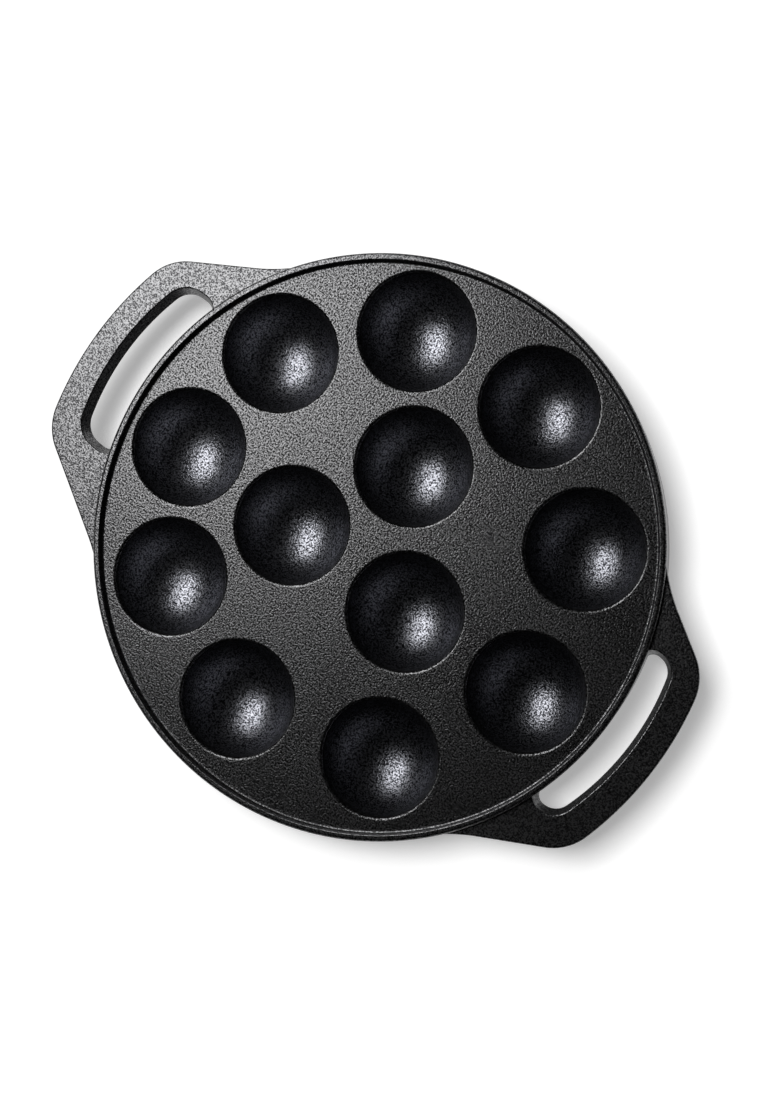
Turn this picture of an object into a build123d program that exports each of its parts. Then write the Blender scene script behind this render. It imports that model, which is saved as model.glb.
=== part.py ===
from build123d import *

import math
import os

# A cast-iron aebleskiver pan: one sand casting, written out as its named regions.
# Z is up. The handles lie along the X axis. The origin is midway between their ends, in the
# XZ plane of the body's axis, on the plane the pan rests on. Lengths are in mm, angles in degrees.

# The round body. It stands a little off the middle between the handles, as cast. Its radius and
# height follow from the wells further down.
body_x = 2.5
foot_clearance = 1.8
wall_draft = 3.0
skirt_width = 4.0
foot_round = 1.0

# The raised rim around the deck.
rim_rise = 3.5
rim_width = 3.0
rim_wall_lean = 0.5
rim_outer_round = 1.5
rim_inner_round = 0.5
rim_foot_fillet = 1.0

# The flat deck between the wells. The margin is the flat ring outside it, cast with the rim.
deck_thickness = 4.0
deck_margin = 0.2

# The wells: hemispherical cups hung under the deck.
well_radius = 25.4
well_centre_rise = 0.4
well_lip_round = 1.4
well_lip_land = 0.3
well_wall = 3.2

# The iron left between two wells of an even ring, and from the outermost well to the deck's edge.
well_web = 8.4
ring_margin = 0.2

# Where the wells lie: distance from the body axis as a share of the ring's radius, and angle.
# The moulder's pattern is uneven.
outer_well_shares = (
    (1.022, 154.0),
    (1.027, 116.0),
    (1.016, 77.0),
    (1.0, 37.0),
    (0.989, -5.0),
    (0.989, -50.0),
    (0.978, -94.5),
    (1.005, -134.0),
    (1.022, -170.0),
)
inner_well_shares = (
    (0.404, -156.5),
    (0.421, 100.0),
    (0.344, -25.0),
)

# The handles: a flat bar across a finger slot, with flanks that sweep into the body.
# Both stand to one side of the body's axis by handle_y. The projection is what the bars' middles
# stand out from the body's wall, as the mean of the two handles. The line of a straight flank, run
# on, passes the middle between the handles at the distance that is a share of the body's radius.
handle_projection = 28.5
handle_y = -2.6
handle_thickness = 6.0
handle_below_rim = 2.2
bar_outer_bow = 150.0
bar_inner_bow = 120.0
bar_width = 12.2
bar_half_span = 46.5
flank_line_share = 0.9105
bar_corner_round = 24.0
flank_sweep = 80.0
flank_tip_angle = 10.0
flank_overlap = 0.4
handle_draft = 3.0
handle_root_bite = 0.8
handle_top_round = 1.0
handle_under_round = 2.0

# The finger slot in each handle. Its wall slopes in towards the underside. Where an end is too
# short for its two rounds, each keeps its share of the end.
slot_y = 1.7
slot_end_wall = 4.7
slot_corner_round = 12.5
slot_corner_share = 0.6
slot_root_round = 5.0
slot_root_share = 0.39
slot_draft = 20.0
slot_edge_round = 0.8

# How far a cutting shape runs past what it cuts.
overrun = 10.0

# Worked out from the sizes above: the ring of wells first, then the deck and the body around it.
lip_radius = well_radius + well_lip_round + well_lip_land
half_pitch = lip_radius + well_web / 2
ring_radius = half_pitch / math.sin(math.pi / len(outer_well_shares))
outermost_share = max(share for share, angle in outer_well_shares)
deck_radius = outermost_share * ring_radius + lip_radius + ring_margin
body_radius = deck_radius + deck_margin + rim_foot_fillet + rim_wall_lean + rim_width
deck_level = foot_clearance + well_wall + well_radius - well_centre_rise
body_height = deck_level + rim_rise
handle_top = body_height - handle_below_rim
handle_reach = body_radius + handle_projection
slot_half_span = bar_half_span - slot_end_wall


def vertex_near(face, x, y):
    """The corner of a flat face that lies closest to a point in its plane."""
    return face.vertices().sort_by_distance((x, y, 0))[0]


def wall_radius(height):
    """Outer radius of the body at a height: the wall leans in towards the foot."""
    return body_radius - (body_height - height) * math.tan(math.radians(wall_draft))


def body_core(body, inset=0):
    """The body's outer form as one filled solid on an axis at the point given, drawn in by an inset."""
    base, top = wall_radius(0) - inset, wall_radius(body_height) - inset
    core = make_face(Polyline((0, 0), (base, 0), (top, body_height), (0, body_height), close=True))
    return Pos(body) * revolve(Plane.XZ * core, Axis.Z)


def rim_skirt():
    """The raised rim with the outer wall below it, down to the foot the pan stands on.

    The wall carries the last stretch of the handles' flanks, where they run out along it.
    """
    base, top = wall_radius(0), wall_radius(body_height)
    crest = top - rim_width
    foot = crest - rim_wall_lean
    under = deck_level - deck_thickness
    inner_top = wall_radius(under) - skirt_width
    inner_base = base - skirt_width
    outline = (
        (base, 0),
        (top, body_height),
        (crest, body_height),
        (foot, deck_level),
        (deck_radius, deck_level),
        (deck_radius, under),
        (inner_top, under),
        (inner_base, 0),
    )
    section = make_face(Polyline(*outline, close=True))
    for x, y, size in (
        (top, body_height, rim_outer_round),
        (crest, body_height, rim_inner_round),
        (foot, deck_level, rim_foot_fillet),
        (base, 0, foot_round),
        (inner_base, 0, foot_round),
    ):
        section = fillet(vertex_near(section, x, y), size)
    ring = Pos(body_x, 0, 0) * revolve(Plane.XZ * section, Axis.Z)
    for place in well_places().values():
        ring -= place * well_blank()
    ring += Pos(0, handle_y, 0) * flank_ends(right_body)
    ring += Pos(0, handle_y, 0) * mirror(flank_ends(left_body), Plane.YZ)
    return ring


def well_places():
    """Where each well stands, by node name."""
    places = {}
    for kind, shares in (("outer", outer_well_shares), ("inner", inner_well_shares)):
        for number, (share, angle) in enumerate(shares, start=1):
            centre = Vector(share * ring_radius, 0).rotate(Axis.Z, angle)
            places[f"well_{kind}_{number}"] = Pos(body_x + centre.X, centre.Y, deck_level)
    return places


def well_blank():
    """A well before it is hollowed: a ball under the deck, and a plug through the deck's thickness."""
    ball = Pos(0, 0, well_centre_rise) * Sphere(well_radius + well_wall)
    below = Pos(0, 0, -deck_thickness) * Box(
        body_radius, body_radius, body_radius, align=(Align.CENTER, Align.CENTER, Align.MAX)
    )
    plug = Cylinder(lip_radius, deck_thickness, align=(Align.CENTER, Align.CENTER, Align.MAX))
    return (ball & below) + plug


def well():
    """One hemispherical cup with a rounded lip, level with the deck."""
    hollow = Pos(0, 0, well_centre_rise) * Sphere(well_radius)
    cup = well_blank() - hollow
    mouth = cup.edges().filter_by(GeomType.CIRCLE).group_by(Axis.Z)[-1].sort_by(SortBy.RADIUS)[0]
    return fillet(mouth, well_lip_round)


def deck_plate():
    """The flat plate inside the rim, with a round hole for each well."""
    plate = Cylinder(deck_radius, deck_thickness, align=(Align.CENTER, Align.CENTER, Align.MAX))
    plate = Pos(body_x, 0, deck_level) * plate
    for place in well_places().values():
        plate -= place * Cylinder(lip_radius, overrun)
    return plate


def bar_corner():
    """Where the bar's outer bow meets the upper flank, before the corner is rounded."""
    bow_x = handle_reach - bar_outer_bow
    return Vector(bow_x + math.sqrt(bar_outer_bow**2 - bar_half_span**2), bar_half_span)


def flank_lean():
    """The angle from the X axis at which the upper flank faces."""
    corner = bar_corner()
    turn = math.acos(flank_line_share * body_radius / corner.length)
    return math.degrees(math.atan2(corner.Y, corner.X) + turn)


def handle_plan(body):
    """The handle and the body behind it, seen from above: bowed bar, round corners, swept flanks."""
    corner = bar_corner()
    root_x = body.X + body_radius / 2
    root_y = corner.Y + (corner.X - root_x) / math.tan(math.radians(flank_lean()))
    bar = make_face(
        ThreePointArc((corner.X, -corner.Y), (handle_reach, 0), (corner.X, corner.Y))
        + Polyline((corner.X, corner.Y), (root_x, root_y), (root_x, -root_y), (corner.X, -corner.Y))
    )
    for side in (1, -1):
        bar = fillet(vertex_near(bar, corner.X, side * corner.Y), bar_corner_round)
    whole = bar + Pos(body) * Circle(wall_radius(handle_top) - handle_root_bite)
    return fillet(whole.vertices().sort_by(Axis.X)[:2], flank_sweep)


def sweep_angle(body, side):
    """The angle about the body at which a flank's sweep has run out along the wall."""
    outward = Vector(1, 0).rotate(Axis.Z, flank_lean())
    corner = bar_corner() - Vector(body.X, side * body.Y)
    from_body = wall_radius(handle_top) - handle_root_bite + flank_sweep
    turn = math.acos((outward.dot(corner) + flank_sweep) / from_body)
    return flank_lean() - math.degrees(turn)


def slot_plan(body):
    """The slot seen from above. Its inner side lies inside the body wall down its whole depth."""
    bar_inside = handle_reach - bar_width
    bow_x = bar_inside - bar_inner_bow
    bar_x = bow_x + math.sqrt(bar_inner_bow**2 - slot_half_span**2)
    run_in = handle_thickness * math.tan(math.radians(slot_draft))
    inner_side = wall_radius(handle_top) - handle_root_bite - run_in
    opening = Pos(bow_x, slot_y) * Circle(bar_inner_bow)
    opening &= Pos(body.X, slot_y) * Rectangle(
        handle_reach, 2 * slot_half_span, align=(Align.MIN, Align.CENTER)
    )
    opening -= Pos(body) * Circle(inner_side)
    for y in (slot_y - slot_half_span, slot_y + slot_half_span):
        root_x = body.X + math.sqrt(inner_side**2 - (y - body.Y) ** 2)
        end = bar_x - root_x
        corner_round = min(slot_corner_round, slot_corner_share * end)
        root_round = min(slot_root_round + run_in, slot_root_share * end)
        opening = fillet(vertex_near(opening, bar_x, y), corner_round)
        opening = fillet(vertex_near(opening, root_x, y), root_round)
    return opening


def handle_form(body):
    """A handle along the +X axis, with its flanks and the disc behind them, before it is fitted."""
    down = (0, 0, -1)
    form = extrude(Pos(0, 0, handle_top) * handle_plan(body), handle_thickness, dir=down, taper=handle_draft)
    form = fillet(form.faces().sort_by(Axis.Z)[-1].outer_wire().edges(), handle_top_round)
    form = fillet(form.faces().sort_by(Axis.Z)[0].outer_wire().edges(), handle_under_round)
    form -= extrude(Pos(0, 0, handle_top) * slot_plan(body), handle_thickness, dir=down, taper=slot_draft)
    return fillet(form.faces().sort_by(Axis.Z)[-1].inner_wires()[0].edges(), slot_edge_round)


def beyond_wall(body, angle):
    """All that lies further out along X than the body's wall does at an angle from the X axis."""
    start = body.X + body_radius * math.cos(math.radians(angle))
    side = 2 * handle_reach
    return Pos(start, 0, 0) * Box(side, side, side, align=(Align.MIN, Align.CENTER, Align.CENTER))


def beyond_flank_tips(body):
    """All beyond the flanks' last stretch, which is too thin to stand as the handle's own edge."""
    return beyond_wall(body, min(sweep_angle(body, 1), sweep_angle(body, -1)) - flank_tip_angle)


def handle(body):
    """A handle along the +X axis, fitted to a body whose axis stands at the point given."""
    return (handle_form(body) & beyond_flank_tips(body)) - body_core(body)


def flank_ends(body):
    """The flanks' last stretch, let into the body's wall that it is cast with."""
    past_sweep = max(sweep_angle(body, 1), sweep_angle(body, -1)) + flank_tip_angle
    ends = handle_form(body) & beyond_wall(body, past_sweep)
    return ends - beyond_flank_tips(body) - body_core(body, flank_overlap)


right_body = Vector(body_x, -handle_y)
left_body = Vector(-body_x, -handle_y)
parts = {"deck_plate": deck_plate(), "rim_skirt": rim_skirt()}
parts["handle_right"] = Pos(0, handle_y, 0) * handle(right_body)
parts["handle_left"] = Pos(0, handle_y, 0) * mirror(handle(left_body), Plane.YZ)
for node, place in well_places().items():
    parts[node] = place * well()

os.makedirs("parts", exist_ok=True)
for node, shape in parts.items():
    export_step(shape, f"parts/{node}.step")
    size = shape.bounding_box().size
    print(f"{node}: {size.X:.1f} x {size.Y:.1f} x {size.Z:.1f} mm, {len(shape.solids())} solid")
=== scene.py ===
"""A cast-iron aebleskiver pan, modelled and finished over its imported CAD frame.

The pan is one sand casting. Its rim, deck, cups and handles are modelled here as the pieces that
the frame names, all in the seasoned iron of the real pan. Sizes are in millimetres in the classes
and become metres as the meshes are drawn.
"""

import logging
import math
from dataclasses import dataclass, field
from enum import Enum

import bmesh
import bpy
from mathutils import Matrix, Quaternion, Vector


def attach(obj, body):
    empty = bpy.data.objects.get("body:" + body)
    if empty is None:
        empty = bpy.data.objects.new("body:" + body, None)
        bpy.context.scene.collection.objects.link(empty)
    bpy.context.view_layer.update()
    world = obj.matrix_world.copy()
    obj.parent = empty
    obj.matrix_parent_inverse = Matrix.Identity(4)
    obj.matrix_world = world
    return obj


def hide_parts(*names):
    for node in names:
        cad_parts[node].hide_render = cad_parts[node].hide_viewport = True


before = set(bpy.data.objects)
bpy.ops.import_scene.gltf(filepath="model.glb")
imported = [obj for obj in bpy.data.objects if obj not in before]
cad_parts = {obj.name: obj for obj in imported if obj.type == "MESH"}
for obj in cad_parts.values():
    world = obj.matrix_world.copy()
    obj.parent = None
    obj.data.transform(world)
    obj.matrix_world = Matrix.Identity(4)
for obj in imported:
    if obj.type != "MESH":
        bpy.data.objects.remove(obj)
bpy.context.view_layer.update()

MM = 0.001
WELD = 0.002
SHARP = 30.0
UP = Vector((0, 0, 1))
FRONT = Vector((0, -1, 0))
BODY = "root"
log = logging.getLogger("pan")


class Facing(Enum):
    """The side of the pan that a handle stands on."""

    RIGHT = 1
    LEFT = -1


def linear(code: str) -> tuple[float, float, float, float]:
    """Turns an sRGB hex colour into the linear colour that shaders take.

    Args:
        code: Six hex digits after a hash.

    Returns:
        Red, green and blue as linear light, and an alpha of one.
    """
    levels = [int(code[i:i + 2], 16) / 255 for i in (1, 3, 5)]
    red, green, blue = (v / 12.92 if v <= 0.04045 else ((v + 0.055) / 1.055) ** 2.4 for v in levels)
    return red, green, blue, 1.0


def add_node(tree: bpy.types.NodeTree, kind: str, settings: dict | None = None,
             sockets: dict | None = None) -> bpy.types.Node:
    """Adds a shader node with its settings, its values and its links.

    Args:
        tree: The node tree that takes the node.
        kind: The node's type name.
        settings: Properties of the node itself.
        sockets: Values or output sockets for the inputs, by input name or number.

    Returns:
        The new node.
    """
    node = tree.nodes.new(kind)
    for name, value in (settings or {}).items():
        setattr(node, name, value)
    for name, value in (sockets or {}).items():
        if isinstance(value, bpy.types.NodeSocket):
            tree.links.new(value, node.inputs[name])
        else:
            node.inputs[name].default_value = value
    return node


@dataclass(frozen=True)
class Tone:
    """The black of the baked oil in the grain's pits, the bare iron of its crests, and their gloss."""

    pits: str
    crests: str
    roughness: float

    def colour(self, tree: bpy.types.NodeTree, crest: bpy.types.NodeSocket) -> bpy.types.NodeSocket:
        """Mixes the two colours by how much of a crest each spot is."""
        mix = add_node(tree, "ShaderNodeMix", {"data_type": "RGBA"}, {
            0: crest, 6: linear(self.pits), 7: linear(self.crests)})
        return mix.outputs[2]


@dataclass(frozen=True)
class SeasonedIron:
    """Grey cast iron, cast in sand and baked with oil to a black satin skin.

    The sand leaves a grain of fine pits and bumps. Its crests are rubbed bare and mirror the light,
    and its pits hold the black of the baked oil, so the skin looks speckled where light strikes it.
    Foundry sand is about a quarter of a millimetre. The grain is drawn about three times as coarse,
    because nothing finer shows in a picture of the whole pan. Sizes and heights are in millimetres.
    """

    name: str
    tone: Tone
    metallic: float
    grain_size: float
    grain_height: float
    rubbed: Tone | None = None
    rubbed_below: tuple[float, float] = (0.0, 1.0)
    lump_size: float = 4.0
    lump_height: float = 0.05
    patch_size: float = 24.0
    patch_roughness: float = 0.02
    crest_from: float = 0.36
    crest_full: float = 0.64

    def build(self) -> bpy.types.Material:
        """Makes the material. Where a second tone is given, it takes over between two heights."""
        material = bpy.data.materials.new(self.name)
        material.use_nodes = True
        tree = material.node_tree
        tree.nodes.clear()
        place = add_node(tree, "ShaderNodeTexCoord").outputs["Object"]
        lumps = self.noise(tree, place, self.lump_size, detail=2.0)
        grain = self.noise(tree, place, self.grain_size, detail=1.0)
        patches = self.noise(tree, place, self.patch_size, detail=3.0, roughness=0.6)
        crest = add_node(tree, "ShaderNodeMapRange", {"interpolation_type": "SMOOTHSTEP"}, {
            "Value": grain, "From Min": self.crest_from, "From Max": self.crest_full}).outputs["Result"]
        gloss = add_node(tree, "ShaderNodeMapRange", sockets={
            "Value": patches, "From Min": 0.3, "From Max": 0.7,
            "To Min": self.tone.roughness - self.patch_roughness,
            "To Max": self.tone.roughness + self.patch_roughness})
        colour, rough = self.tone.colour(tree, crest), gloss.outputs["Result"]
        if self.rubbed:
            height = add_node(tree, "ShaderNodeSeparateXYZ", sockets={"Vector": place}).outputs["Z"]
            low, high = self.rubbed_below
            share = add_node(tree, "ShaderNodeMapRange", {"interpolation_type": "SMOOTHSTEP"}, {
                "Value": height, "From Min": low * MM, "From Max": high * MM,
                "To Min": 1.0, "To Max": 0.0}).outputs["Result"]
            colour = add_node(tree, "ShaderNodeMix", {"data_type": "RGBA"}, {
                0: share, 6: colour, 7: self.rubbed.colour(tree, crest)}).outputs[2]
            rough = add_node(tree, "ShaderNodeMix", sockets={
                0: share, 2: rough, 3: self.rubbed.roughness}).outputs[0]
        soft = add_node(tree, "ShaderNodeBump", sockets={
            "Height": lumps, "Distance": self.lump_height * MM})
        fine = add_node(tree, "ShaderNodeBump", sockets={
            "Height": grain, "Distance": self.grain_height * MM, "Normal": soft.outputs["Normal"]})
        iron = add_node(tree, "ShaderNodeBsdfPrincipled", sockets={
            "Base Color": colour, "Metallic": self.metallic,
            "Roughness": rough, "Normal": fine.outputs["Normal"]})
        add_node(tree, "ShaderNodeOutputMaterial", sockets={"Surface": iron.outputs["BSDF"]})
        return material

    def noise(self, tree: bpy.types.NodeTree, place: bpy.types.NodeSocket, size: float, detail: float,
              roughness: float = 0.5) -> bpy.types.NodeSocket:
        """Adds a noise on the piece's own coordinates.

        Args:
            tree: The material's node tree.
            place: The coordinates.
            size: The size of the noise's spots in millimetres.
            detail: How many finer layers it has.
            roughness: How strong the finer layers are.

        Returns:
            The noise's value.
        """
        noise = add_node(tree, "ShaderNodeTexNoise", sockets={
            "Vector": place, "Scale": 1 / (size * MM), "Detail": detail, "Roughness": roughness})
        return noise.outputs["Fac"]


# The deck keeps the sand's coarse grain, with the most black oil in it. The rim and the handles are
# gone over with a grinding belt after casting, so their pits are shallower and lighter. The cups are
# rubbed smooth before the pan is seasoned: below the lip they shine more broadly and a little blue.
SAND_TONE = Tone("#141414", "#656566", 0.28)
DECK_SKIN = SeasonedIron("seasoned_sand_cast_iron", SAND_TONE, 0.95, grain_size=0.75, grain_height=0.15)
EDGE_SKIN = SeasonedIron("seasoned_ground_iron", Tone("#282829", "#6C6C6D", 0.29), 0.95,
                         grain_size=0.7, grain_height=0.13)
CUP_SKIN = SeasonedIron("seasoned_smooth_iron", SAND_TONE, 1.0, grain_size=0.75, grain_height=0.15,
                        rubbed=Tone("#202124", "#8C8D93", 0.33), rubbed_below=(25.0, 28.5))


class Drawing:
    """A mesh that is drawn in edit mode, line by line, and then turned into a solid."""

    def __init__(self, name: str) -> None:
        """Starts an empty mesh object at the origin and goes into edit mode.

        Args:
            name: The name of the object.
        """
        bpy.ops.object.select_all(action="DESELECT")
        bpy.ops.mesh.primitive_plane_add(size=MM)
        self.piece = bpy.context.object
        self.piece.name = name
        self.piece.data.name = name
        bpy.ops.object.mode_set(mode="EDIT")
        bpy.ops.mesh.select_mode(type="VERT")
        bpy.ops.mesh.select_all(action="SELECT")
        bpy.ops.mesh.delete(type="VERT")
        self.at = Vector()

    def start(self, point: Vector) -> None:
        """Puts down the first point of a line: a small plane, merged to its middle."""
        bpy.ops.mesh.select_all(action="DESELECT")
        bpy.ops.mesh.primitive_plane_add(size=MM, location=point * MM)
        bpy.ops.mesh.merge(type="CENTER")
        self.at = Vector(point)

    def line(self, point: Vector) -> None:
        """Draws a straight stretch to a point."""
        bpy.ops.mesh.extrude_vertices_move(
            TRANSFORM_OT_translate={"value": (Vector(point) - self.at) * MM})
        self.at = Vector(point)

    def arc(self, centre: Vector, turn: float, axis: Vector, steps: int) -> None:
        """Draws an arc from where the line stands.

        Args:
            centre: The arc's centre.
            turn: The angle in degrees, anticlockwise about the axis.
            axis: The direction that the arc turns about.
            steps: How many straight pieces the arc has.
        """
        bpy.ops.mesh.spin(steps=steps, angle=-math.radians(turn), center=centre * MM, axis=axis)
        spoke = self.at - centre
        spoke.rotate(Quaternion(axis, math.radians(turn)))
        self.at = centre + spoke

    def rounded_loop(self, corners: list[tuple[Vector, float]], axis: Vector, step: float) -> None:
        """Draws a closed line through corners, each with a round of its own radius.

        Args:
            corners: Each corner and the radius of its round, which is zero for a sharp corner.
            axis: The direction that the line's plane faces.
            step: The largest turn of one piece of a round, in degrees.
        """
        starts = []
        for i, (corner, radius) in enumerate(corners):
            back = (corners[i - 1][0] - corner).normalized()
            on = (corners[(i + 1) % len(corners)][0] - corner).normalized()
            half = back.angle(on) / 2
            run = radius / math.tan(half)
            middle = corner + (back + on).normalized() * radius / math.sin(half)
            spoke, last = corner + back * run - middle, corner + on * run - middle
            turn = math.degrees(math.atan2(spoke.cross(last).dot(axis), spoke.dot(last)))
            starts.append((corner + back * run, middle, turn))
        for i, (start, middle, turn) in enumerate(starts):
            self.line(start) if i else self.start(start)
            if corners[i][1]:
                self.arc(middle, turn, axis, math.ceil(abs(turn) / step))
        self.line(starts[0][0])

    def turn_round(self, centre: Vector, steps: int) -> None:
        """Spins all that is drawn once round an upright axis."""
        bpy.ops.mesh.select_all(action="SELECT")
        bpy.ops.mesh.remove_doubles(threshold=WELD * MM)
        bpy.ops.mesh.spin(steps=steps, angle=2 * math.pi, center=centre * MM, axis=UP)

    def skin_levels(self, levels: list[float]) -> None:
        """Joins flat loops that lie one below the other, and closes the first and the last.

        Args:
            levels: The height of each loop, from the top down.
        """
        bpy.ops.mesh.select_all(action="SELECT")
        bpy.ops.mesh.remove_doubles(threshold=WELD * MM)
        for upper, lower in zip(levels, levels[1:]):
            self.select_at(upper, lower)
            bpy.ops.mesh.bridge_edge_loops()
        for level in (levels[0], levels[-1]):
            self.select_at(level)
            bpy.ops.mesh.edge_face_add()

    def select_at(self, *levels: float) -> None:
        """Selects the edges that lie level at the given heights."""
        bpy.ops.mesh.select_mode(type="EDGE")
        bpy.ops.mesh.select_all(action="DESELECT")
        mesh = bmesh.from_edit_mesh(self.piece.data)
        for edge in mesh.edges:
            heights = [v.co.z / MM for v in edge.verts]
            edge.select = any(max(abs(h - level) for h in heights) < WELD for level in levels)
        bmesh.update_edit_mesh(self.piece.data)

    def finish(self, sharp: float) -> bpy.types.Object:
        """Closes the solid, turns it the right way out and shades its rounds smoothly.

        Args:
            sharp: Edges that turn by more than this many degrees stay sharp.

        Returns:
            The finished object.
        """
        bpy.ops.mesh.select_all(action="SELECT")
        bpy.ops.mesh.remove_doubles(threshold=WELD * MM)
        bpy.ops.mesh.normals_make_consistent(inside=False)
        bpy.ops.object.mode_set(mode="OBJECT")
        smooth(self.piece, sharp)
        return self.piece


def smooth(piece: bpy.types.Object, sharp: float) -> None:
    """Shades a piece smoothly, with flat faces kept flat right up to their rounds.

    Args:
        piece: The object to shade.
        sharp: Edges that turn by more than this many degrees stay sharp.
    """
    bpy.ops.object.select_all(action="DESELECT")
    piece.select_set(True)
    bpy.context.view_layer.objects.active = piece
    bpy.ops.object.shade_smooth_by_angle(angle=math.radians(sharp))
    weighted = piece.modifiers.new("flat_faces", "WEIGHTED_NORMAL")
    weighted.keep_sharp = True
    bpy.ops.object.modifier_apply(modifier=weighted.name)


def dress(piece: bpy.types.Object, materials: list[bpy.types.Material], *nodes: str) -> None:
    """Gives a piece its finishes, its body and the CAD nodes that it stands for."""
    for material in materials:
        piece.data.materials.append(material)
    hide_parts(*nodes)
    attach(piece, BODY)
    log.info("%s: %d faces, stands for %s", piece.name, len(piece.data.polygons), ", ".join(nodes))


@dataclass
class Casting:
    """The sizes that the casting's regions share."""

    body_x: float = 2.5
    body_radius: float = 125.986
    body_height: float = 33.5
    wall_draft: float = 3.0
    deck_level: float = 30.0
    deck_thickness: float = 4.0
    deck_radius: float = 121.286
    lip_radius: float = 27.1
    well_radius: float = 25.4
    well_wall: float = 3.2
    well_centre_rise: float = 0.4
    ring_radius: float = 91.515
    round_steps: int = 128

    def wall_radius(self, height: float) -> float:
        """Outer radius of the body at a height: the wall leans in towards the foot."""
        return self.body_radius - (self.body_height - height) * math.tan(math.radians(self.wall_draft))

    def well_places(self) -> dict[str, Vector]:
        """Where each well stands, by the name of its CAD node."""
        rings = {"outer": ((1.022, 154.0), (1.027, 116.0), (1.016, 77.0), (1.0, 37.0), (0.989, -5.0),
                           (0.989, -50.0), (0.978, -94.5), (1.005, -134.0), (1.022, -170.0)),
                 "inner": ((0.404, -156.5), (0.421, 100.0), (0.344, -25.0))}
        places = {}
        for kind, shares in rings.items():
            for number, (share, angle) in enumerate(shares, start=1):
                turn, distance = math.radians(angle), share * self.ring_radius
                places[f"well_{kind}_{number}"] = Vector(
                    (self.body_x + distance * math.cos(turn), distance * math.sin(turn), self.deck_level))
        return places


@dataclass
class Rim:
    """The raised rim, the outer wall and the foot: one profile turned round the body's axis."""

    casting: Casting
    width: float = 3.0
    lean: float = 0.5
    skirt: float = 4.0
    outer_round: float = 1.5
    inner_round: float = 0.5
    deck_fillet: float = 1.0
    foot_round: float = 1.0
    round_turn: float = 11.0

    def build(self, material: bpy.types.Material) -> None:
        """Draws the profile with its rounds, turns it and dresses it."""
        c = self.casting
        base, top = c.wall_radius(0), c.wall_radius(c.body_height)
        under = c.deck_level - c.deck_thickness
        corners = (
            (base, 0, self.foot_round), (top, c.body_height, self.outer_round),
            (top - self.width, c.body_height, self.inner_round),
            (top - self.width - self.lean, c.deck_level, self.deck_fillet),
            (c.deck_radius, c.deck_level, 0), (c.deck_radius, under, 0),
            (c.wall_radius(under) - self.skirt, under, 0), (base - self.skirt, 0, self.foot_round))
        drawing = Drawing("rim")
        placed = [(Vector((c.body_x + r, 0, z)), size) for r, z, size in corners]
        drawing.rounded_loop(placed, FRONT, self.round_turn)
        drawing.turn_round(Vector((c.body_x, 0, 0)), 2 * c.round_steps)
        dress(drawing.finish(SHARP), [material], "rim_skirt")


@dataclass
class Deck:
    """The flat plate between the wells, with a round hole for each."""

    casting: Casting

    def build(self, material: bpy.types.Material) -> None:
        """Cuts a disc with one round cutter for each well, and dresses it."""
        c = self.casting
        cutters = []
        for place in c.well_places().values():
            cutters.append(self.disc("cutter", place, c.lip_radius, 3 * c.deck_thickness, c.round_steps))
        middle = Vector((c.body_x, 0, c.deck_level - c.deck_thickness / 2))
        plate = self.disc("deck", middle, c.deck_radius, c.deck_thickness, 2 * c.round_steps)
        bpy.ops.object.select_all(action="DESELECT")
        for cutter in cutters:
            cutter.select_set(True)
        bpy.context.view_layer.objects.active = cutters[0]
        bpy.ops.object.join()
        holes = plate.modifiers.new("holes", "BOOLEAN")
        holes.object, holes.operation, holes.solver = cutters[0], "DIFFERENCE", "EXACT"
        bpy.context.view_layer.objects.active = plate
        bpy.ops.object.modifier_apply(modifier=holes.name)
        bpy.data.objects.remove(cutters[0])
        smooth(plate, SHARP)
        dress(plate, [material], "deck_plate")

    def disc(self, name: str, middle: Vector, radius: float, depth: float, steps: int) -> bpy.types.Object:
        """Adds a flat disc with its place in its mesh.

        Args:
            name: The object's name.
            middle: The disc's centre.
            radius: Its radius.
            depth: Its thickness.
            steps: The number of its sides.

        Returns:
            The disc.
        """
        bpy.ops.object.select_all(action="DESELECT")
        bpy.ops.mesh.primitive_cylinder_add(
            vertices=steps, radius=radius * MM, depth=depth * MM, location=middle * MM)
        piece = bpy.context.object
        piece.name = name
        bpy.ops.object.transform_apply(location=True, rotation=True, scale=True)
        return piece


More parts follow.
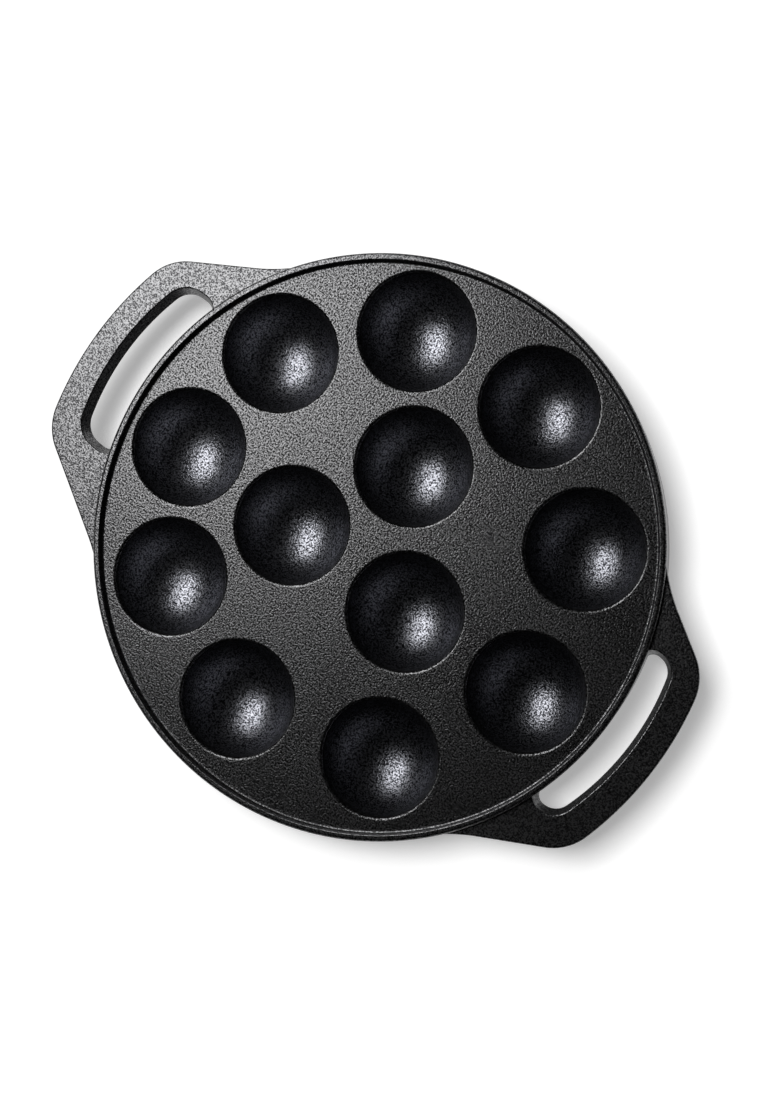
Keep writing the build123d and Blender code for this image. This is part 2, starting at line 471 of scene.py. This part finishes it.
@dataclass
class Wells:
    """The twelve hemispherical cups: one is modelled and copied to every place."""

    casting: Casting
    lip_round: float = 1.4
    inside_steps: int = 26
    lip_steps: int = 9
    outside_steps: int = 18

    def model(self) -> bpy.types.Object:
        """Turns the profile of a cup, from the inside's pole over the lip to the underside's pole."""
        c = self.casting
        centre = Vector((0, 0, c.well_centre_rise))
        outside = c.well_radius + c.well_wall
        drop = c.well_centre_rise + self.lip_round
        tilt = math.degrees(math.asin(drop / (c.well_radius + self.lip_round)))
        lip = centre + Vector((math.sqrt((c.well_radius + self.lip_round) ** 2 - drop**2), 0, -drop))
        below = c.well_centre_rise + c.deck_thickness
        edge = math.degrees(math.asin(below / outside))
        drawing = Drawing("well")
        drawing.start(centre - UP * c.well_radius)
        drawing.arc(centre, 90 - tilt, FRONT, self.inside_steps)
        drawing.arc(lip, tilt - 90, FRONT, self.lip_steps)
        drawing.line(Vector((c.lip_radius, 0, 0)))
        drawing.line(Vector((c.lip_radius, 0, -c.deck_thickness)))
        drawing.line(Vector((outside * math.cos(math.radians(edge)), 0, -c.deck_thickness)))
        drawing.arc(centre, edge - 90, FRONT, self.outside_steps)
        drawing.turn_round(Vector(), c.round_steps)
        cup = drawing.finish(SHARP)
        for face in cup.data.polygons:
            inside = (face.center / MM - centre).length < c.well_radius + c.well_wall / 2
            face.material_index = 0 if inside and face.center.z < lip.z * MM else 1
        return cup

    def build(self, inside: bpy.types.Material, outside: bpy.types.Material) -> None:
        """Copies the cup to each place, each copy with a mesh of its own, and dresses it."""
        pattern = self.model()
        for node, place in self.casting.well_places().items():
            cup = bpy.data.objects.new(node.replace("well", "cup"), pattern.data.copy())
            bpy.context.scene.collection.objects.link(cup)
            cup.data.transform(Matrix.Translation(place * MM))
            dress(cup, [inside, outside], node)
        bpy.data.objects.remove(pattern)


def off(point: Vector, angle: float, distance: float) -> Vector:
    """The point that lies at a distance and a level bearing in degrees from another."""
    turn = math.radians(angle)
    return point + Vector((math.cos(turn), math.sin(turn), 0)) * distance


def bearing(point: Vector, target: Vector) -> float:
    """The level direction from one point to another, in degrees."""
    return math.degrees(math.atan2(target.y - point.y, target.x - point.x))


def opening_angle(span: float, near_radius: float, far_radius: float) -> float:
    """The angle in degrees at the near centre of two circles, from the span to where they cross.

    Args:
        span: How far apart the centres are.
        near_radius: The radius of the circle whose centre the angle is taken at.
        far_radius: The radius of the other circle.

    Returns:
        The angle.
    """
    share = (span**2 + near_radius**2 - far_radius**2) / (2 * span * near_radius)
    return math.degrees(math.acos(min(1.0, share)))


@dataclass
class HalfLoop:
    """The centres and turns of the arcs on one side of a handle's loop. Angles are in degrees."""

    out: Vector
    corner_at: Vector
    sweep_at: Vector
    sweep_turn: float
    back_turn: float
    root_at: Vector
    root_from: float
    root_radius: float
    slot_corner_at: Vector
    slot_corner_radius: float
    slot_turn: float


@dataclass
class Handle:
    """A bar handle with its finger slot, and flanks that sweep into the body's wall.

    It is drawn along +X in its own frame, as closed loops at falling levels that follow the rounded
    and drafted edges, and is then set to its side of the pan. A loop runs round the outside of the
    bar and flanks, goes in along the body's wall, and comes back round the slot.
    """

    casting: Casting
    facing: Facing
    projection: float = 28.5
    y: float = -2.6
    thickness: float = 6.0
    below_rim: float = 2.2
    outer_bow: float = 150.0
    inner_bow: float = 120.0
    bar_width: float = 12.2
    half_span: float = 46.5
    flank_line_share: float = 0.9105
    corner_round: float = 24.0
    sweep: float = 80.0
    draft: float = 3.0
    root_bite: float = 0.8
    root_cover: float = 0.1
    top_round: float = 1.0
    under_round: float = 2.0
    slot_y: float = 1.7
    slot_half_span: float = 41.8
    slot_corner: float = 12.5
    slot_corner_share: float = 0.6
    slot_root: float = 5.0
    slot_root_share: float = 0.39
    slot_draft: float = 20.0
    slot_edge: float = 0.8
    bow_steps: int = 48
    slot_bow_steps: int = 32
    sweep_steps: int = 16
    corner_steps: int = 14
    root_steps: int = 10
    sharp: float = 32.0

    def outer_inset(self, depth: float) -> float:
        """How far the outside has drawn in at a depth below the top face."""
        draft = math.tan(math.radians(self.draft))
        if depth < self.top_round:
            return self.top_round - math.sqrt(self.top_round**2 - (self.top_round - depth) ** 2)
        rise = depth - (self.thickness - self.under_round)
        if rise <= 0:
            return depth * draft
        at_round = (self.thickness - self.under_round) * draft
        return at_round + self.under_round - math.sqrt(max(0, self.under_round**2 - rise**2))

    def slot_growth(self, depth: float) -> float:
        """How much wider the slot is at a depth than its plain outline; below the round it is narrower."""
        lean = math.radians(self.slot_draft)
        run = self.slot_edge * math.tan((math.pi / 2 - lean) / 2)
        if depth < run * math.cos(lean):
            return run - math.sqrt(self.slot_edge**2 - (self.slot_edge - depth) ** 2)
        return -depth * math.tan(lean)

    def loop(self, drawing: Drawing, depth: float) -> float:
        """Draws the handle's loop at a depth below its top face.

        Args:
            drawing: The drawing that takes the loop.
            depth: How far below the top face the loop lies.

        Returns:
            The loop's height.
        """
        c = self.casting
        top = c.body_height - self.below_rim
        z = top - depth
        inset, growth = self.outer_inset(depth), self.slot_growth(depth)
        reach = c.body_radius + self.projection
        body = Vector((self.facing.value * c.body_x, -self.y, z))
        wall = c.wall_radius(top) - self.root_bite
        bow = Vector((reach - self.outer_bow, 0, z))
        inner_bow = Vector((reach - self.bar_width - self.inner_bow, self.slot_y, z))
        run_in = self.thickness * math.tan(math.radians(self.slot_draft))
        inner_side = wall - run_in

        corner = bow + Vector((math.sqrt(self.outer_bow**2 - self.half_span**2), self.half_span, 0))
        flat = Vector((corner.x, corner.y))
        lean = math.degrees(math.atan2(flat.y, flat.x)
                            + math.acos(self.flank_line_share * c.body_radius / flat.length))
        facing_out = off(Vector(), lean, 1)
        bow_end = lean - math.degrees(math.acos(
            ((corner - bow).dot(facing_out) - self.corner_round) / (self.outer_bow - self.corner_round)))
        bar_x = inner_bow.x + math.sqrt(self.inner_bow**2 - self.slot_half_span**2)
        sides = {}
        for s in (1, -1):
            out = off(Vector(), s * lean, 1)
            tip = Vector((corner.x, s * corner.y, z))
            nearness = math.degrees(math.acos(((tip - body).dot(out) + self.sweep) / (wall + self.sweep)))
            sweep_from = s * (lean - nearness)
            sweep_at = off(body, sweep_from, wall + self.sweep)
            corner_at = off(bow, s * bow_end, self.outer_bow - self.corner_round)
            end_y = self.slot_y + s * self.slot_half_span
            end = bar_x - body.x - math.sqrt(inner_side**2 - (end_y - body.y) ** 2)
            slot_corner = min(self.slot_corner, self.slot_corner_share * end)
            root = min(self.slot_root + run_in, self.slot_root_share * end)
            slot_turn = math.degrees(math.asin(
                (self.slot_half_span - slot_corner) / (self.inner_bow - slot_corner)))
            slot_corner_at = off(inner_bow, s * slot_turn, self.inner_bow - slot_corner)
            root_y = end_y - s * root
            root_x = body.x + math.sqrt((inner_side + root) ** 2 - (root_y - body.y) ** 2)
            root_at = Vector((root_x, root_y, z))
            back = max(wall - inset, inner_side - growth + self.root_cover)
            near = opening_angle(inner_side + root, root + growth, back)
            root_from = bearing(root_at, body) - s * near
            meets = off(root_at, root_from, root + growth)
            near = opening_angle(wall + self.sweep, self.sweep + inset, back)
            runs_out = off(sweep_at, sweep_from + 180 + s * near, self.sweep + inset)
            sides[s] = HalfLoop(
                out, corner_at, sweep_at, lean - abs(sweep_from) - near,
                abs(bearing(body, runs_out) - bearing(body, meets)), root_at, (s * root_from) % 360,
                root + growth, slot_corner_at, slot_corner + growth, slot_turn)

        corner_turn = lean - bow_end
        one, other = sides[1], sides[-1]
        drawing.start(off(bow, -bow_end, self.outer_bow - inset))
        drawing.arc(bow, 2 * bow_end, UP, self.bow_steps)
        drawing.arc(one.corner_at, corner_turn, UP, self.corner_steps)
        drawing.line(one.sweep_at - one.out * (self.sweep + inset))
        drawing.arc(one.sweep_at, -one.sweep_turn, UP, self.sweep_steps)
        drawing.arc(body, -one.back_turn, UP, self.root_steps)
        drawing.arc(one.root_at, 90 - one.root_from, UP, self.root_steps)
        drawing.line(one.slot_corner_at + Vector((0, one.slot_corner_radius, 0)))
        drawing.arc(one.slot_corner_at, one.slot_turn - 90, UP, self.corner_steps)
        drawing.arc(inner_bow, -one.slot_turn - other.slot_turn, UP, self.slot_bow_steps)
        drawing.arc(other.slot_corner_at, other.slot_turn - 90, UP, self.corner_steps)
        drawing.line(other.root_at - Vector((0, other.root_radius, 0)))
        drawing.arc(other.root_at, 90 - other.root_from, UP, self.root_steps)
        drawing.arc(body, -other.back_turn, UP, self.root_steps)
        drawing.arc(other.sweep_at, -other.sweep_turn, UP, self.sweep_steps)
        drawing.line(other.corner_at + other.out * (self.corner_round - inset))
        drawing.arc(other.corner_at, corner_turn, UP, self.corner_steps)
        return z

    def build(self, material: bpy.types.Material) -> None:
        """Draws the loops from the top face to the underside, skins them and sets the handle in place."""
        name = f"handle_{self.facing.name.lower()}"
        drawing = Drawing(name + "_bar")
        rounds = self.thickness - self.under_round
        # The levels crowd where the top round and the slot's edge turn fastest.
        depths = [0.0, 0.024, 0.094, 0.2, 0.353, 0.526, 0.69, self.top_round, rounds]
        depths += [rounds + self.under_round * math.sin(math.radians(a)) for a in (22.5, 45, 67.5, 90)]
        drawing.skin_levels([self.loop(drawing, depth) for depth in depths])
        bpy.ops.mesh.select_all(action="SELECT")
        bpy.ops.transform.resize(value=(self.facing.value, 1, 1), center_override=(0, 0, 0))
        bpy.ops.transform.translate(value=(0, self.y * MM, 0))
        dress(drawing.finish(self.sharp), [material], name)


@dataclass
class Studio:
    """The pale floor, the lamp, the dim room and the camera of the photograph."""

    eye: Vector = field(default_factory=lambda: Vector((165.0, 110.23, 864.81)))
    turn: tuple[float, float, float] = (0.6784, 12.6948, 37.9996)
    lens: float = 64.98
    lamp_at: Vector = field(default_factory=lambda: Vector((-342.0, 79.0, 450.0)))
    lamp_size: tuple[float, float] = (300.0, 580.0)
    lamp_roll: float = -40.0
    lamp_level: float = 6.0
    top_at: Vector = field(default_factory=lambda: Vector((-445.0, 175.0, 2000.0)))
    top_size: tuple[float, float] = (860.0, 860.0)
    table_level: float = 0.92
    room_level: float = 0.01
    floor_radius: float = 12000.0
    shadow_reach: float = 200.0
    white_from: float = 420.0
    shadow_level: float = 0.38

    def build(self) -> None:
        """Sets the view, the floor, the lamp, the room and the camera."""
        scene = bpy.context.scene
        scene.view_settings.view_transform = "Standard"
        self.lamps(self.floor())
        self.room(scene)
        self.camera(scene)

    def floor(self) -> bpy.types.Object:
        """Adds a pale floor. Away from the pan its own light keeps it white, as a lit table is."""
        bpy.ops.object.select_all(action="DESELECT")
        bpy.ops.mesh.primitive_circle_add(vertices=128, radius=self.floor_radius * MM, fill_type="NGON")
        floor = bpy.context.object
        floor.name = "floor"
        material = bpy.data.materials.new("white_table")
        material.use_nodes = True
        tree = material.node_tree
        tree.nodes.clear()
        place = add_node(tree, "ShaderNodeTexCoord").outputs["Object"]
        distance = add_node(tree, "ShaderNodeVectorMath", {"operation": "LENGTH"}, {0: place})
        glow = add_node(tree, "ShaderNodeMapRange", {"interpolation_type": "SMOOTHSTEP"}, {
            "Value": distance.outputs["Value"], "From Min": self.shadow_reach * MM,
            "From Max": self.white_from * MM, "To Min": self.shadow_level, "To Max": 1.0})
        path = add_node(tree, "ShaderNodeLightPath")
        seen = add_node(tree, "ShaderNodeMath", {"operation": "ADD", "use_clamp": True}, {
            0: path.outputs["Is Camera Ray"], 1: path.outputs["Is Glossy Ray"]})
        seen = add_node(tree, "ShaderNodeMath", {"operation": "ADD", "use_clamp": True}, {
            0: seen.outputs["Value"], 1: path.outputs["Is Transmission Ray"]})
        level = add_node(tree, "ShaderNodeMath", {"operation": "MULTIPLY"}, {
            0: seen.outputs["Value"], 1: glow.outputs["Result"]})
        paint = add_node(tree, "ShaderNodeBsdfPrincipled", sockets={
            "Base Color": linear("#E6E6E6"), "Roughness": 0.8, "Specular IOR Level": 0.0,
            "Emission Color": (1, 1, 1, 1), "Emission Strength": level.outputs["Value"]})
        add_node(tree, "ShaderNodeOutputMaterial", sockets={"Surface": paint.outputs["BSDF"]})
        floor.data.materials.append(material)
        return floor

    def lamps(self, floor: bpy.types.Object) -> None:
        """Adds the soft box that the cups mirror, and a high lamp that only the floor takes light from."""
        side = self.lamp("soft_box", self.lamp_at, self.lamp_size, self.lamp_roll, self.lamp_level)
        self.link(side, floor, "EXCLUDE")
        distance, (width, height) = self.top_at.length, self.top_size
        spread = width * height / distance**2 * self.top_at.z / distance
        top = self.lamp("top_light", self.top_at, self.top_size, 0.0, self.table_level * math.pi / spread)
        self.link(top, floor, "INCLUDE")

    def link(self, lamp: bpy.types.Object, floor: bpy.types.Object, state: str) -> None:
        """Lets a lamp light only the floor (INCLUDE), or all but the floor (EXCLUDE)."""
        taker = bpy.data.collections.new(lamp.name + "_taker")
        taker.objects.link(floor)
        taker.collection_objects[0].light_linking.link_state = state
        lamp.light_linking.receiver_collection = taker

    def lamp(self, name: str, place: Vector, size: tuple[float, float], roll: float, level: float
             ) -> bpy.types.Object:
        """Adds a flat lamp that faces the pan.

        Args:
            name: The lamp's name.
            place: Its middle.
            size: Its width and height.
            roll: How far it is turned about its own axis, in degrees.
            level: How bright its face is, where one is white.

        Returns:
            The lamp.
        """
        light = bpy.data.lights.new(name, "AREA")
        light.shape = "RECTANGLE"
        light.size, light.size_y = (side * MM for side in size)
        light.energy = level * math.pi * light.size * light.size_y
        lamp = bpy.data.objects.new(name, light)
        lamp.location = place * MM
        faces = (-place).to_track_quat("-Z", "Y") @ Quaternion(UP, math.radians(roll))
        lamp.rotation_euler = faces.to_euler()
        bpy.context.scene.collection.objects.link(lamp)
        return lamp

    def room(self, scene: bpy.types.Scene) -> None:
        """Makes the room dim, and white where the camera sees past the floor."""
        world = bpy.data.worlds.new("dim_room")
        world.use_nodes = True
        tree = world.node_tree
        tree.nodes.clear()
        path = add_node(tree, "ShaderNodeLightPath")
        level = add_node(tree, "ShaderNodeMapRange", sockets={
            "Value": path.outputs["Is Camera Ray"], "To Min": self.room_level, "To Max": 1.0})
        light = add_node(tree, "ShaderNodeBackground", sockets={
            "Color": (1, 1, 1, 1), "Strength": level.outputs["Result"]})
        add_node(tree, "ShaderNodeOutputWorld", sockets={"Surface": light.outputs["Background"]})
        scene.world = world

    def camera(self, scene: bpy.types.Scene) -> None:
        """Adds the camera over the pan, a little to one side, as in the photograph."""
        lens = bpy.data.cameras.new("camera")
        lens.lens, lens.sensor_width, lens.sensor_fit = self.lens, 36.0, "AUTO"
        lens.clip_start, lens.clip_end = 0.01, 60.0
        camera = bpy.data.objects.new("camera", lens)
        camera.location = self.eye * MM
        camera.rotation_euler = [math.radians(a) for a in self.turn]
        scene.collection.objects.link(camera)
        scene.camera = camera


def main() -> None:
    """Builds the pan's pieces in order, then the studio."""
    logging.basicConfig(level=logging.INFO, format="%(name)s: %(message)s")
    casting = Casting()
    deck_skin, edge_skin, cup_skin = DECK_SKIN.build(), EDGE_SKIN.build(), CUP_SKIN.build()
    Rim(casting).build(edge_skin)
    Deck(casting).build(deck_skin)
    Wells(casting).build(cup_skin, deck_skin)
    for facing in Facing:
        Handle(casting, facing).build(edge_skin)
    Studio().build()


if __name__ == "__main__":
    main()
